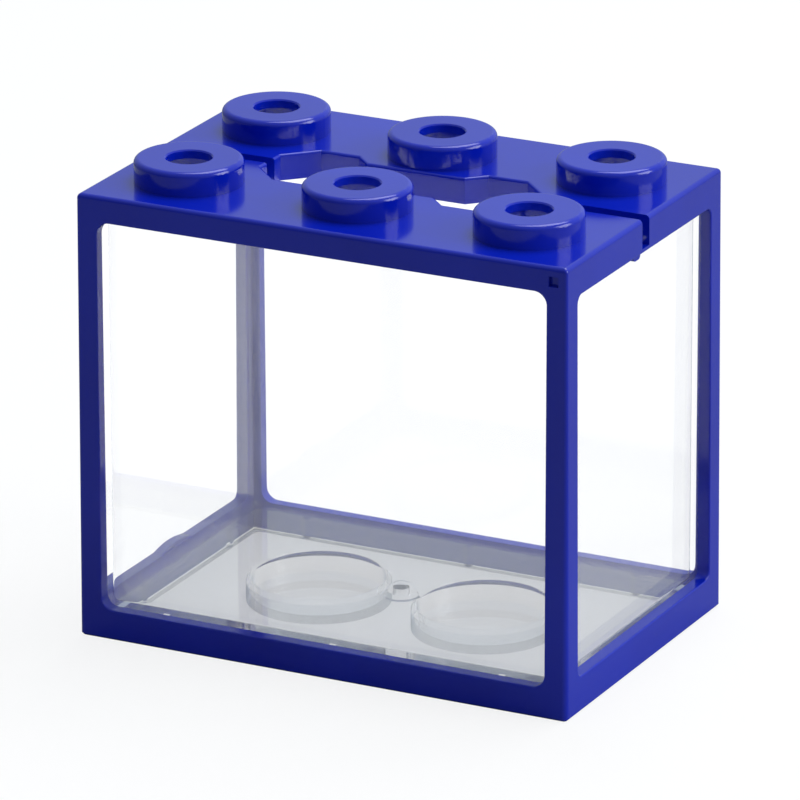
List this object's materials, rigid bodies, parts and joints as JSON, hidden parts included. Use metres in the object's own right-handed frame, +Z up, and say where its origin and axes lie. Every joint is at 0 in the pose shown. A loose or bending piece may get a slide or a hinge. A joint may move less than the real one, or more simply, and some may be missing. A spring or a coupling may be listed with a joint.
{
  "type": "stackable betta aquarium",
  "caption": "Small stackable fish tank: a clear open-topped box inside a coloured lift-off frame with hollow studs and a feeding opening on top.",
  "frame": {"origin": "centre of the footprint on the plane the unit stands on", "axes": "+Z up out of the studs, +X along the three-stud length to the right of the front, -Y out of the front window"},
  "size_m": [0.12, 0.08, 0.1086],
  "materials": {
    "frame_plastic": "glossy moulded royal blue",
    "clear_plastic": "clear polished polystyrene"
  },
  "bodies": {
    "tank_body": {"tank": "clear_plastic"},
    "frame_body": {"frame": "frame_plastic"}
  },
  "joints": [
    {"name": "frame_lift", "type": "slide", "parent": "tank_body", "child": "frame_body", "axis": [0, 0, 1], "range_m": [0, 0.105]}
  ]
}
